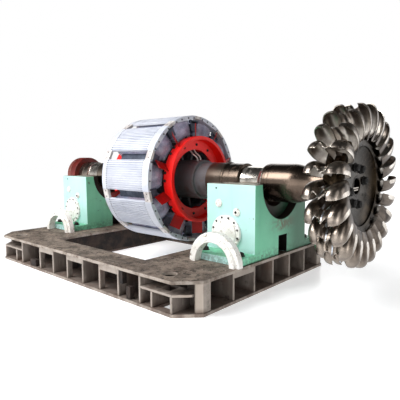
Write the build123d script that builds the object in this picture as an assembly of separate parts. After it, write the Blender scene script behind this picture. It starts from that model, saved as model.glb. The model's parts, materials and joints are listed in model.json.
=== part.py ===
from build123d import *
import os
from math import asin, cos, degrees, radians, sin, sqrt, tan

# Sizes in mm. X runs along the shaft towards the runner, Y runs away from the
# front of the base, Z is up, and the floor is at zero.

# Base frame
base_left = -2417
base_length = 4100
base_half_width = 1500
base_height = 366
plate_thickness = 35
wall_thickness = 25
corner_cut = 225
left_bed = 1111
right_bed = 1054
beam_width = 395
edge_inset = 12
rib_thickness = 25
shallow_rib_depth = 70
side_rib_depth = 300
left_pocket = 780
right_pocket = 708
first_bay_from_pocket = 520
last_bay = 362
inner_rib_count = 6
side_rib_margin = 105
side_rib_count = 7
header_height = 60
header_thickness = 20
shelf_height = 225
shelf_thickness = 25
shelf_depth = 260
under_shelf_rib = 183
panel_thickness = 20
panel_lead = 56
block_depth = 60
hanging_block_inset = 305
hanging_block_width = 50
hanging_block_height = 150
standing_block_inset = 188
standing_block_width = 65
standing_block_height = 137
low_block_inset = 312
low_block_width = 155
low_block_height = 95
foundation_hole_radius = 78
foundation_hole_x_inset = 422
foundation_hole_y_inset = 180
key_slot_length = 390
key_slot_width = 46
key_slot_x_inset = 148
key_slot_y = -884

# Shaft line
shaft_y = 225
shaft_height = 1234
journal_radius = 198
bearing_clearance = 0.1
seat_gap = 0.3
shoulder_gap = 12

# Pedestals
pedestal_length = 707
left_pedestal_inset = 50
right_pedestal_inset = 30
pedestal_half_width = 590
foot_half_width = 876
foot_thickness = 81
seal_seat_radius = 440
seal_seat_depth = 110
shell_outer_radius = 290
journal_inset = 199
journal_length = 258
slot_width = 200
slot_height = 230
slot_depth = 120
slot_offset = 20
cover_radius = 208
cover_thickness = 45
cover_inset = 304
cover_gap = 5
plug_radius = 45
plug_thickness = 26
first_plug_inset = 187
first_plug_height = 1003
second_plug_inset = 452
second_plug_height = 912
foot_bolt_radius = 38
foot_bolt_height = 45
foot_bolt_inset = 95

# Seal half rings standing on the base
ring_inner_radius = 245
ring_outer_radius = 355
ring_depth = 110
ring_lip = 45
ring_step = 30
ring_stand_off = 5
right_ring_inset = 338
left_ring_inset = 482

# Rotor
rotor_start_share = 0.2739
rotor_length_share = 0.5111
rotor_radius = 900
pole_count = 10
pole_phase = 85
pole_gap = 140
shoe_thickness = 62
core_inset = 100
pole_height_share = 0.3778
coil_side = 66.6
coil_end = 62
coil_lift = 40
coil_corner = 45
coil_spacing = 3
coil_collar = 10
damper_band = 105
damper_depth = 40
bracket_length = 90
bracket_top = 50
bracket_height = 110
rim_share = 0.1444
rim_inset = 120
arm_thickness = 40
arm_inset = 60
fan_ring_height = 50
fan_web_width = 189
fan_wall = 50
fan_web_thickness = 16
fan_ring_overhang = 132
fan_ring_thickness = 148
fan_bracket_width = 70
fan_bracket_height = 60
blade_chord = 150
blade_height = 178
blade_thickness = 10
blade_tilt = 45
blade_lead = 6
blade_gap = 5

# Shaft
barrel_radius = 275
barrel_overhang = 204
stub_radius = 180
stub_length = 41
left_collar_radius = 230
left_body_radius = 235
right_body_radius = 240
coupling_radius = 233
coupling_cone = 58
taper_start = 165
taper_length = 115
neck_radius = 168
flange_radius = 300
flange_thickness = 45

# Collector drum
drum_overhang = 78
drum_length = 240
drum_radius = 310

# Runner
runner_overhang = 837
runner_tip_radius = 875
bucket_count = 22
bucket_phase = -4
bucket_width = 412
bucket_depth = 120
bucket_wall = 0.06
disc_apothem = 500
disc_half_thickness = 95
recess_radius = 425
recess_depth = 65
notch_width = 68
notch_depth = 72
runner_bolt_places = 8
runner_bolt_phase = -76
runner_bolt_circle = 205
runner_bolt_radius = 46
runner_bolt_height = 50

base_right = base_left + base_length
pit_left = base_left + left_bed
pit_right = base_right - right_bed
pit_length = pit_right - pit_left
pit_half_width = base_half_width - beam_width
front_rib_span = base_length - left_pocket - right_pocket - first_bay_from_pocket - last_bay
front_rib_pitch = front_rib_span / (inner_rib_count - 1)
side_rib_span = 2 * (base_half_width - corner_cut - side_rib_margin)
side_rib_pitch = side_rib_span / (side_rib_count - 1)
rotor_left = pit_left + rotor_start_share * pit_length
rotor_length = rotor_length_share * pit_length
rotor_right = rotor_left + rotor_length
runner_x = base_right + runner_overhang
pole_height = pole_height_share * rotor_radius
rim_thickness = rim_share * rotor_radius
left_pedestal_x = base_left + left_pedestal_inset
right_pedestal_x = base_right - right_pedestal_inset - pedestal_length
rib_low = plate_thickness
cover_height = base_height + foot_thickness + cover_gap + cover_radius
rib_high = base_height - plate_thickness
drum_right = left_pedestal_x - drum_overhang
drum_left = drum_right - drum_length
pole_pitch = 360 / pole_count
rim_apothem = rotor_radius - pole_height
shoe_underside = rotor_radius - shoe_thickness
coil_bottom = rim_apothem + coil_lift
coil_top = shoe_underside - coil_collar
coil_half_width = coil_bottom * tan(radians(pole_pitch / 2)) - coil_spacing
core_half_width = coil_half_width - coil_side
fan_ring_radius = rim_apothem + fan_ring_height
fan_ring_bore = fan_ring_radius - fan_web_width
core_left = rotor_left + core_inset
core_right = rotor_right - core_inset
rim_left = rotor_left + rim_inset
rim_right = rotor_right - rim_inset


def box(x0, x1, y0, y1, z0, z1):
    return Pos((x0 + x1) / 2, (y0 + y1) / 2, (z0 + z1) / 2) * Box(x1 - x0, y1 - y0, z1 - z0)


def span_box(x_pair, y_pair, z0, z1):
    return box(*sorted(x_pair), *sorted(y_pair), z0, z1)


def polygon_plate(points, z0, z1):
    outline = Wire.make_polygon([(x, y, z0) for x, y in points])
    return extrude(Face(outline), z1 - z0, dir=(0, 0, 1))


def section_bar(points, x0, x1):
    outline = Wire.make_polygon([(x0, y, z) for y, z in points])
    return extrude(Face(outline), x1 - x0, dir=(1, 0, 0))


def prism_x(x0, x1, apothem, sides, phase=0):
    radius = apothem / cos(radians(180 / sides))
    angles = [radians(phase + (i + 0.5) * 360 / sides) for i in range(sides)]
    return section_bar([(-radius * sin(a), radius * cos(a)) for a in angles], x0, x1)


def on_shaft(shape, x=0):
    return Pos(x, shaft_y, shaft_height) * shape


def turned(points):
    outline = Wire.make_polygon([(x, r, 0) for x, r in points])
    return revolve(Face(outline), Axis.X)


def disc_x(x0, x1, radius):
    return Pos((x0 + x1) / 2, 0, 0) * Rot(0, 90, 0) * Cylinder(radius, x1 - x0)


def spun(shape, angle):
    return Rot(angle, 0, 0) * shape


def solids_of(shapes):
    found = []
    for shape in shapes:
        found.extend(shape.solids())
    return Compound(found)


def pole_angles():
    return [pole_phase + pole_pitch * i for i in range(pole_count)]


def gap_angles():
    return [angle + pole_pitch / 2 for angle in pole_angles()]


def side_outline(inner, outer):
    sign = 1 if outer > inner else -1
    return [
        (inner, -base_half_width),
        (outer - sign * corner_cut, -base_half_width),
        (outer, -base_half_width + corner_cut),
        (outer, base_half_width - corner_cut),
        (outer - sign * corner_cut, base_half_width),
        (inner, base_half_width),
    ]


def foundation_holes(outer, z0, z1):
    sign = 1 if outer > base_left else -1
    x = outer - sign * foundation_hole_x_inset
    y = base_half_width - foundation_hole_y_inset
    drill = Cylinder(foundation_hole_radius, z1 - z0 + 10)
    return Pos(x, -y, (z0 + z1) / 2) * drill + Pos(x, y, (z0 + z1) / 2) * drill


# Square clearance below the round holes, for the boxes of the foundation bolts
def bolt_box_holes(outer, z0, z1):
    sign = 1 if outer > base_left else -1
    x = outer - sign * foundation_hole_x_inset
    y = base_half_width - foundation_hole_y_inset
    half = foundation_hole_radius
    front = box(x - half, x + half, -y - half, -y + half, z0 - 5, z1 + 5)
    return front + box(x - half, x + half, y - half, y + half, z0 - 5, z1 + 5)


def side_plate(inner, outer, z0, z1):
    return polygon_plate(side_outline(inner, outer), z0, z1)


def key_slot():
    x = base_left + key_slot_x_inset
    half_width = key_slot_width / 2
    half_length = key_slot_length / 2
    return box(x - half_width, x + half_width, key_slot_y - half_length, key_slot_y + half_length,
               rib_high - 1, base_height + 1)


def beam_plate(side, z0, z1):
    return span_box((pit_left, pit_right), (side * pit_half_width, side * base_half_width), z0, z1)


# The ribs left of every second bay are shallow strips, so those bays look deep and dark
def front_rib_places():
    first = base_left + left_pocket + first_bay_from_pocket
    inner = [first + front_rib_pitch * i for i in range(inner_rib_count)]
    return [base_left + left_pocket] + inner + [base_right - right_pocket]


def front_ribs(side):
    outer = base_half_width - edge_inset
    full_depth = outer - pit_half_width - wall_thickness
    half = rib_thickness / 2
    ribs = []
    for index, x in enumerate(front_rib_places()):
        shallow = index % 2 == 1 and index <= inner_rib_count
        depth = shallow_rib_depth if shallow else full_depth
        y_pair = (side * outer, side * (outer - depth))
        ribs.append(span_box((x - half, x + half), y_pair, rib_low, rib_high))
    return solids_of(ribs)


def side_rib_places():
    return [side_rib_pitch * (i - (side_rib_count - 1) / 2) for i in range(side_rib_count)]


def side_ribs(side):
    edge = base_left if side < 0 else base_right
    half = rib_thickness / 2
    x_pair = (edge - side * edge_inset, edge - side * (edge_inset + side_rib_depth))
    ribs = [span_box(x_pair, (y - half, y + half), rib_low, rib_high) for y in side_rib_places()]
    return solids_of(ribs)


def bay_headers():
    low = rib_high - header_height
    half = rib_thickness / 2
    places = front_rib_places()
    headers = []
    for side in (-1, 1):
        outer = base_half_width - edge_inset
        y_pair = (side * outer, side * (outer - header_thickness))
        for index in range(1, inner_rib_count, 2):
            x_pair = (places[index] + half, places[index + 1] - half)
            headers.append(span_box(x_pair, y_pair, low, rib_high))
    y_places = side_rib_places()
    for side, edge in ((-1, base_left), (1, base_right)):
        x_pair = (edge - side * edge_inset, edge - side * (edge_inset + header_thickness))
        headers.append(span_box(x_pair, (y_places[1] + half, y_places[2] - half), low, rib_high))
    return solids_of(headers)


def pit_wall_long(side):
    x_pair = (pit_left - wall_thickness, pit_right + wall_thickness)
    y_pair = (side * pit_half_width, side * (pit_half_width + wall_thickness))
    return span_box(x_pair, y_pair, rib_low, rib_high)


def pit_wall_cross(x, direction):
    x_pair = (x, x + direction * wall_thickness)
    return span_box(x_pair, (-pit_half_width, pit_half_width), rib_low, rib_high)


# Points of the corner, an inset from the plate's own outline
def cut_corner(side_x, side_y, inset, lead=0):
    edge = base_left if side_x < 0 else base_right
    x = edge - side_x * (inset + lead)
    y = -base_half_width + corner_cut + inset * (sqrt(2) - 1) - lead
    return x, -side_y * y


def cut_start(side_x, side_y, inset):
    edge = base_left if side_x < 0 else base_right
    x = edge - side_x * (corner_cut + inset * (sqrt(2) - 1))
    return x, side_y * (base_half_width - inset)


def corner_panel(side_x, side_y):
    outer = edge_inset
    inner = edge_inset + panel_thickness
    edge = base_left if side_x < 0 else base_right
    rib_face = side_y * (side_rib_places()[-1] + rib_thickness / 2)
    points = [
        cut_corner(side_x, side_y, outer, panel_lead), cut_corner(side_x, side_y, outer),
        (edge - side_x * outer, rib_face), (edge - side_x * inner, rib_face),
        cut_corner(side_x, side_y, inner), cut_corner(side_x, side_y, inner, panel_lead),
    ]
    return polygon_plate(points, rib_low, rib_high)


def shelf_start(side_x):
    edge = base_left if side_x < 0 else base_right
    pocket = left_pocket if side_x < 0 else right_pocket
    return edge - side_x * (pocket - rib_thickness / 2)


def corner_shelf(side_x, side_y):
    edge = base_left if side_x < 0 else base_right
    start = shelf_start(side_x)
    front = side_y * (base_half_width - edge_inset)
    back = front - side_y * shelf_depth
    end_x, end_y = cut_corner(side_x, side_y, edge_inset + panel_thickness, panel_lead)
    lead = side_x * (cut_corner(side_x, side_y, edge_inset)[0] - end_x)
    cut_x, cut_y = cut_corner(side_x, side_y, edge_inset, lead)
    points = [
        (start, front), cut_start(side_x, side_y, edge_inset), (cut_x, cut_y), (end_x, back),
        (start, back),
    ]
    low = shelf_height - shelf_thickness
    return polygon_plate(points, low, shelf_height) - bolt_box_holes(edge, low, shelf_height)


def under_shelf_ribs(side_x, side_y):
    front = side_y * (base_half_width - edge_inset)
    y_pair = (front, front - side_y * shelf_depth)
    half = rib_thickness / 2
    pocket_rib = shelf_start(side_x) - side_x * half
    cut_x = cut_start(side_x, side_y, edge_inset)[0]
    places = (pocket_rib + side_x * under_shelf_rib, cut_x - side_x * half)
    high = shelf_height - shelf_thickness
    return [span_box((x - half, x + half), y_pair, rib_low, high) for x in places]


def bay_block(x, width, z0, z1):
    outer = -base_half_width + edge_inset
    return box(x - width / 2, x + width / 2, outer, outer + block_depth, z0, z1)


def bay_blocks():
    last_rib = base_right - right_pocket
    first_rib = base_left + left_pocket
    hanging = last_rib - hanging_block_inset
    standing = last_rib - standing_block_inset
    low = first_rib + low_block_inset
    return solids_of([
        bay_block(hanging, hanging_block_width, rib_high - hanging_block_height, rib_high),
        bay_block(standing, standing_block_width, rib_low, rib_low + standing_block_height),
        bay_block(low, low_block_width, rib_low, rib_low + low_block_height),
    ])


def pedestal(x):
    far = x + pedestal_length
    body = box(x, far, -pedestal_half_width, pedestal_half_width, base_height, shaft_height)
    foot = box(x, far, -foot_half_width, foot_half_width, base_height, base_height + foot_thickness)
    shape = Pos(0, shaft_y, 0) * (body + foot)
    shape = shape - on_shaft(disc_x(x - 1, x + seal_seat_depth, seal_seat_radius))
    shape = shape - on_shaft(disc_x(far - seal_seat_depth, far + 1, seal_seat_radius))
    shape = shape - on_shaft(disc_x(x, far, shell_outer_radius))
    slot_y = shaft_y + slot_offset
    slot = box(far - slot_depth, far + 1, slot_y - slot_width / 2, slot_y + slot_width / 2,
               base_height - 1, base_height + slot_height)
    return shape - slot


def bearing_shell(x):
    x0 = x + journal_inset
    x1 = x0 + journal_length
    bore = disc_x(x0 - 1, x1 + 1, journal_radius + bearing_clearance)
    ring = disc_x(x0, x1, shell_outer_radius - seat_gap) - bore
    reach = shell_outer_radius + 10
    return on_shaft(ring & box(x0 - 5, x1 + 5, -reach, reach, -reach, 0))


def front_disc(radius, thickness, x, z):
    y = shaft_y - pedestal_half_width - thickness / 2
    return Pos(x, y, z) * Rot(90, 0, 0) * Cylinder(radius, thickness)


def plugs(x):
    head = Rot(90, 0, 0) * extrude(RegularPolygon(plug_radius, 6), plug_thickness)
    y = shaft_y - pedestal_half_width
    places = ((first_plug_inset, first_plug_height), (second_plug_inset, second_plug_height))
    return [Pos(x + inset, y, z) * head for inset, z in places]


def foot_bolts(x):
    reach = (foot_half_width + pedestal_half_width) / 2
    head = RegularPolygon(foot_bolt_radius, 6, major_radius=False)
    top = base_height + foot_thickness
    bolts = []
    for along in (foot_bolt_inset, pedestal_length - foot_bolt_inset):
        for side in (-1, 1):
            bolt = extrude(head, foot_bolt_height)
            bolts.append(Pos(x + along, shaft_y + side * reach, top) * bolt)
    return bolts


def half_ring(x):
    half = ring_depth / 2
    profile = [
        (-half, ring_inner_radius), (half, ring_inner_radius), (half, ring_outer_radius - ring_lip),
        (half - ring_step, ring_outer_radius - ring_lip), (half - ring_step, ring_outer_radius),
        (-half, ring_outer_radius),
    ]
    reach = ring_outer_radius + 10
    upper = turned(profile) & box(-reach, reach, -reach, reach, 0, reach)
    y = shaft_y - foot_half_width - ring_stand_off - half
    return Pos(x, y, base_height) * Rot(0, 0, -90) * upper


def shaft():
    left_journal = left_pedestal_x + journal_inset
    right_journal = right_pedestal_x + journal_inset
    left_journal_end = left_journal + journal_length + shoulder_gap
    right_journal_end = right_journal + journal_length + shoulder_gap
    cone_end = right_journal_end + coupling_cone
    barrel_end = rotor_right + barrel_overhang
    taper = right_pedestal_x + pedestal_length + taper_start
    disc_back = runner_x - disc_half_thickness - seat_gap
    flange_back = disc_back - flange_thickness
    points = [
        (drum_left - stub_length, 0), (drum_left - stub_length, stub_radius), (drum_right, stub_radius),
        (drum_right, left_collar_radius), (left_journal - shoulder_gap, left_collar_radius),
        (left_journal - shoulder_gap, journal_radius), (left_journal_end, journal_radius),
        (left_journal_end, left_body_radius), (rotor_left, left_body_radius), (rotor_left, barrel_radius),
        (barrel_end, barrel_radius), (barrel_end, right_body_radius),
        (right_journal - shoulder_gap, right_body_radius), (right_journal - shoulder_gap, journal_radius),
        (right_journal_end, journal_radius), (cone_end, coupling_radius), (taper, coupling_radius),
        (taper + taper_length, neck_radius), (flange_back, neck_radius), (flange_back, flange_radius),
        (disc_back, flange_radius), (disc_back, 0),
    ]
    return on_shaft(turned(points))


def collector_drum():
    bore = stub_radius + seat_gap
    right = drum_right - seat_gap
    points = [(drum_left, bore), (drum_left, drum_radius), (right, drum_radius), (right, bore)]
    return on_shaft(turned(points))


def rotor_rim():
    inner = rim_apothem - rim_thickness
    tube = prism_x(rim_left, rim_right, rim_apothem, pole_count, pole_phase)
    return on_shaft(tube - prism_x(rim_left - 1, rim_right + 1, inner, pole_count, pole_phase))


def rotor_arms():
    half = arm_thickness / 2
    top = rim_apothem - rim_thickness
    arm = box(rim_left + arm_inset, rim_right - arm_inset, -half, half, barrel_radius + seat_gap, top)
    return solids_of([on_shaft(spun(arm, angle)) for angle in pole_angles()])


def shoe_edge():
    angle = pole_pitch / 2 - degrees(asin(pole_gap / 2 / rotor_radius))
    return rotor_radius * sin(radians(angle)), rotor_radius * cos(radians(angle))


def pole(angle):
    edge_y, edge_z = shoe_edge()
    face = Edge.make_three_point_arc((rotor_left, -edge_y, edge_z), (rotor_left, 0, rotor_radius),
                                     (rotor_left, edge_y, edge_z))
    corners = [(edge_y, edge_z), (edge_y, shoe_underside), (-edge_y, shoe_underside), (-edge_y, edge_z)]
    sides = Wire.make_polygon([(rotor_left, y, z) for y, z in corners], close=False)
    shoe = extrude(Face(Wire([face] + sides.edges())), rotor_length, dir=(1, 0, 0))
    core = box(core_left, core_right, -core_half_width, core_half_width, rim_apothem, shoe_underside + 1)
    return on_shaft(spun(shoe + core, angle))


def pole_coil(angle):
    left = core_left - coil_end
    right = core_right + coil_end
    half = coil_half_width
    cut = coil_corner
    outline = [
        (left + cut, -half), (right - cut, -half), (right, -half + cut), (right, half - cut),
        (right - cut, half), (left + cut, half), (left, half - cut), (left, -half + cut),
    ]
    block = polygon_plate(outline, coil_bottom, coil_top)
    inner = core_half_width + seat_gap
    hole = box(core_left - seat_gap, core_right + seat_gap, -inner, inner, coil_bottom - 1, coil_top + 1)
    return on_shaft(spun(block - hole, angle))


# Links of the damper ring, which bridge the gaps between neighbouring pole shoes
def damper_link(x0, angle):
    edge_y, edge_z = shoe_edge()
    turn = radians(pole_pitch / 2)
    top_half = pole_gap / 2 - seat_gap
    top = sqrt(rotor_radius ** 2 - (pole_gap / 2) ** 2)
    bottom_half = top_half - damper_depth * tan(turn)
    bottom = top - damper_depth
    section = [(-top_half, top), (top_half, top), (bottom_half, bottom), (-bottom_half, bottom)]
    return on_shaft(spun(section_bar(section, x0, x0 + damper_band), angle))


# Wedge blocks that hold neighbouring coils apart at the middle of each gap
def coil_bracket(angle):
    turn = radians(pole_pitch / 2)
    high = shoe_underside - bracket_top
    low = high - bracket_height
    middle = (rotor_left + rotor_right) / 2
    halves = [height * tan(turn) - coil_half_width / cos(turn) - seat_gap for height in (low, high)]
    section = [(-halves[0], low), (halves[0], low), (halves[1], high), (-halves[1], high)]
    bar = section_bar(section, middle - bracket_length / 2, middle + bracket_length / 2)
    return on_shaft(spun(bar, angle))


def fan_ring_middle(side):
    face = rotor_right + fan_ring_overhang if side > 0 else rotor_left - fan_ring_overhang
    return face - side * fan_ring_thickness / 2


# A flat web at the rotor's end and a wall that stands out from its rim
def fan_ring(side):
    face = side * fan_ring_thickness / 2
    web = -side * (fan_ring_thickness / 2 - fan_web_thickness)
    wall = fan_ring_radius - fan_wall
    points = [
        (-face, fan_ring_bore), (-face, fan_ring_radius), (face, fan_ring_radius), (face, wall),
        (web, wall), (web, fan_ring_bore),
    ]
    return on_shaft(turned(points), fan_ring_middle(side))


def fan_bracket(side, angle):
    inner = rim_right if side > 0 else rim_left
    outer = fan_ring_middle(side) - side * fan_ring_thickness / 2
    half = fan_bracket_width / 2
    low = rim_apothem - rim_thickness
    bracket = span_box((inner, outer), (-half, half), low, low + fan_bracket_height)
    return on_shaft(spun(bracket, angle))


def fan_blade(side, angle):
    plate = Rot(0, 0, side * blade_tilt) * Box(blade_thickness, blade_chord, blade_height)
    radius = fan_ring_radius + seat_gap + blade_height / 2
    turn = radians(blade_tilt)
    reach = (blade_chord * sin(turn) + blade_thickness * cos(turn)) / 2
    coil_face = core_right + coil_end if side > 0 else core_left - coil_end
    x = coil_face + side * (reach + blade_gap)
    return on_shaft(spun(Pos(x, 0, radius) * plate, angle + blade_lead))


def runner_disc():
    left = runner_x - disc_half_thickness
    right = runner_x + disc_half_thickness
    disc = prism_x(left, right, disc_apothem, bucket_count, bucket_phase)
    return on_shaft(disc - disc_x(right - recess_depth, right + 1, recess_radius))


# A bucket half opens towards the jet: scaled copies of one section joined by flat faces
def lofted(points, stations):
    rings = [[(x * s, y * s, r) for x, y in points] for r, s in stations]
    count = len(points)
    faces = [Face(Wire.make_polygon(rings[0])), Face(Wire.make_polygon(rings[-1]))]
    for low, high in zip(rings, rings[1:]):
        for i in range(count):
            j = (i + 1) % count
            faces.append(Face(Wire.make_polygon([low[i], low[j], high[j], high[i]])))
    return Solid(Shell(faces))


def bucket():
    half = bucket_width / 2
    deep = bucket_depth * 0.85
    tip = runner_tip_radius
    reach = tip - disc_apothem
    back = [
        (-half, 0), (-half * 0.74, deep), (-half * 0.3, deep), (0, deep * 0.5),
        (half * 0.3, deep), (half * 0.74, deep), (half, 0),
    ]
    outside = [
        (disc_apothem + seat_gap, 0.5), (disc_apothem + reach * 0.28, 0.93), (tip - reach * 0.33, 1),
        (tip, 0.62),
    ]
    shape = lofted(back, outside)
    floor = deep * 0.72
    cup = [(half * bucket_wall, -6), (half * 0.94, -6), (half * 0.72, floor), (half * 0.3, floor)]
    inside = [
        (disc_apothem + reach * 0.09, 0.45), (disc_apothem + reach * 0.31, 0.88),
        (tip - reach * 0.33, 0.97), (tip - reach * 0.045, 0.6),
    ]
    for sign in (-1, 1):
        shape = shape - lofted([(sign * x, y) for x, y in cup], inside)
    notch = Wire.make_polygon([
        (-notch_width / 2, -10, tip + 1), (notch_width / 2, -10, tip + 1), (0, -10, tip - notch_depth),
    ])
    return shape - extrude(Face(notch), bucket_depth + 20, dir=(0, 1, 0))


def runner_buckets():
    one = bucket()
    angles = [bucket_phase + 360 / bucket_count * i for i in range(bucket_count)]
    return solids_of([on_shaft(spun(Pos(runner_x, 0, 0) * one, angle)) for angle in angles])


# Six heads on a circle of eight places: the two left out have small holes
def runner_bolts():
    floor = runner_x + disc_half_thickness - recess_depth
    head = prism_x(floor, floor + runner_bolt_height, runner_bolt_radius, 6)
    bolts = []
    for i in range(runner_bolt_places):
        if i % 4 != 3:
            angle = runner_bolt_phase + 360 / runner_bolt_places * i
            bolts.append(on_shaft(spun(Pos(0, 0, runner_bolt_circle) * head, angle)))
    return solids_of(bolts)


def all_nodes():
    nodes = {}
    levels = (("top_plate", rib_high, base_height), ("bottom_plate", 0, plate_thickness))
    for name, z0, z1 in levels:
        nodes[name + "_left"] = side_plate(pit_left, base_left, z0, z1)
        nodes[name + "_right"] = side_plate(pit_right, base_right, z0, z1)
        nodes[name + "_front"] = beam_plate(-1, z0, z1)
        nodes[name + "_rear"] = beam_plate(1, z0, z1)
    for side, edge in (("left", base_left), ("right", base_right)):
        top = "top_plate_" + side
        bottom = "bottom_plate_" + side
        nodes[top] = nodes[top] - foundation_holes(edge, rib_high, base_height)
        nodes[bottom] = nodes[bottom] - bolt_box_holes(edge, 0, plate_thickness)
    nodes["top_plate_left"] = nodes["top_plate_left"] - key_slot()
    nodes["front_ribs"] = front_ribs(-1)
    nodes["rear_ribs"] = front_ribs(1)
    nodes["left_ribs"] = side_ribs(-1)
    nodes["right_ribs"] = side_ribs(1)
    nodes["bay_headers"] = bay_headers()
    nodes["bay_blocks"] = bay_blocks()
    nodes["front_pit_wall"] = pit_wall_long(-1)
    nodes["rear_pit_wall"] = pit_wall_long(1)
    nodes["left_pit_wall"] = pit_wall_cross(pit_left, -1)
    nodes["right_pit_wall"] = pit_wall_cross(pit_right, 1)
    corners = [(a, b) for a in (-1, 1) for b in (-1, 1)]
    nodes["corner_shelves"] = solids_of([corner_shelf(a, b) for a, b in corners])
    nodes["corner_panels"] = solids_of([corner_panel(a, b) for a, b in corners])
    short_ribs = [rib for a, b in corners for rib in under_shelf_ribs(a, b)]
    nodes["under_shelf_ribs"] = solids_of(short_ribs)
    pedestals = (left_pedestal_x, right_pedestal_x)
    nodes["left_pedestal"] = pedestal(left_pedestal_x)
    nodes["right_pedestal"] = pedestal(right_pedestal_x)
    nodes["bearing_shells"] = solids_of([bearing_shell(x) for x in pedestals])
    covers = [front_disc(cover_radius, cover_thickness, x + cover_inset, cover_height) for x in pedestals]
    nodes["inspection_covers"] = solids_of(covers)
    nodes["pedestal_plugs"] = solids_of([plug for x in pedestals for plug in plugs(x)])
    nodes["foot_bolts"] = solids_of([bolt for x in pedestals for bolt in foot_bolts(x)])
    ring_places = (base_left + left_ring_inset, base_right - right_ring_inset)
    nodes["seal_half_rings"] = solids_of([half_ring(x) for x in ring_places])
    nodes["shaft"] = shaft()
    nodes["collector_drum"] = collector_drum()
    nodes["rotor_rim"] = rotor_rim()
    nodes["rotor_arms"] = rotor_arms()
    nodes["rotor_poles"] = solids_of([pole(angle) for angle in pole_angles()])
    nodes["rotor_coils"] = solids_of([pole_coil(angle) for angle in pole_angles()])
    ends = (rotor_left, rotor_right - damper_band)
    links = [damper_link(x, angle) for x in ends for angle in gap_angles()]
    nodes["rotor_damper_links"] = solids_of(links)
    nodes["rotor_coil_brackets"] = solids_of([coil_bracket(angle) for angle in gap_angles()])
    nodes["rotor_fan_rings"] = solids_of([fan_ring(side) for side in (-1, 1)])
    brackets = [fan_bracket(side, angle) for side in (-1, 1) for angle in pole_angles()]
    nodes["rotor_fan_brackets"] = solids_of(brackets)
    blades = [fan_blade(side, angle) for side in (-1, 1) for angle in gap_angles()]
    nodes["rotor_fan_blades"] = solids_of(blades)
    nodes["runner_disc"] = runner_disc()
    nodes["runner_buckets"] = runner_buckets()
    nodes["runner_bolts"] = runner_bolts()
    return nodes


os.makedirs("parts", exist_ok=True)
for name, shape in all_nodes().items():
    export_step(shape, "parts/" + name + ".step")
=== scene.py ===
import json
from math import asin, cos, degrees, pi, radians, sin

import bmesh
import bpy
from mathutils import Matrix, Vector


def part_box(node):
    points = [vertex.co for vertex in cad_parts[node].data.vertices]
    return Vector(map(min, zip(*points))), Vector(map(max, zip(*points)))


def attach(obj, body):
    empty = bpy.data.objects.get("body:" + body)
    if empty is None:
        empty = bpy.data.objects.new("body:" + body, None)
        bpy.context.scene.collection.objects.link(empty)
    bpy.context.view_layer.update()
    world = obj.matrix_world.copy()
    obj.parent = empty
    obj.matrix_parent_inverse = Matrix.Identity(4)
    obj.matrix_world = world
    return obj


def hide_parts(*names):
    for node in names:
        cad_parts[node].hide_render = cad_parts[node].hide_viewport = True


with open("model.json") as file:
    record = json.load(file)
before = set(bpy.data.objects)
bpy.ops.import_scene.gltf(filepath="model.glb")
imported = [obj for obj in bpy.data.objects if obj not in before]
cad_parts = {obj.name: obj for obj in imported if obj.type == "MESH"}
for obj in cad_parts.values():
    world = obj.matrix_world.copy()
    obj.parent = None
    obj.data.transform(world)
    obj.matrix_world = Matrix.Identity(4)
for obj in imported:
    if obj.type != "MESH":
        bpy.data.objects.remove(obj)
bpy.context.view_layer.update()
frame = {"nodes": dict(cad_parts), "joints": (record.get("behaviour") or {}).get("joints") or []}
scene = bpy.context.scene
nodes = frame["nodes"]
spinAt = frame["joints"][0]["pos_m"]
shaftLine = {"y": spinAt[1], "z": spinAt[2]}
sides = {"left": (0, 0), "right": (1, 0), "front": (0, 1), "rear": (1, 1), "under": (0, 2), "top": (1, 2)}


def sideOf(node, name):  # where a CAD node ends on that side, to a tenth of a millimetre
    end, axis = sides[name]
    return round(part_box(node)[end][axis], 4)


base = {"left": sideOf("bottom_plate_left", "left"), "right": sideOf("bottom_plate_right", "right"),
        "rear": sideOf("bottom_plate_rear", "rear"), "top": sideOf("top_plate_left", "top")}
pedestalLefts = (sideOf("left_pedestal", "left"), sideOf("right_pedestal", "left"))
pedestalRights = (sideOf("left_pedestal", "right"), sideOf("right_pedestal", "right"))
print("frame loaded:", len(nodes), "nodes")


# sockets as values

class Tone:
    def __init__(self, graph, socket):
        self.graph, self.socket = graph, socket

    def join(self, operation, left, right=0.0):
        return self.graph.node("Math", {"operation": operation}, {0: left, 1: right})

    def __add__(self, other):
        return self.join("ADD", self, other)

    def __radd__(self, other):
        return self.join("ADD", other, self)

    def __sub__(self, other):
        return self.join("SUBTRACT", self, other)

    def __rsub__(self, other):
        return self.join("SUBTRACT", other, self)

    def __mul__(self, other):
        return self.join("MULTIPLY", self, other)

    def __rmul__(self, other):
        return self.join("MULTIPLY", other, self)

    def __truediv__(self, other):
        return self.join("DIVIDE", self, other)

    def __abs__(self):
        return self.join("ABSOLUTE", self)

    def root(self):
        return self.join("SQRT", self)

    def most(self, other):
        return self.join("MAXIMUM", self, other)

    def least(self, other):
        return self.join("MINIMUM", self, other)

    def rise(self, low, high):  # 0 below low, 1 above high
        return self.graph.node("MapRange", {"interpolation_type": "SMOOTHSTEP"},
                               {0: self, 1: low, 2: high, 3: 0.0, 4: 1.0})


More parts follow.
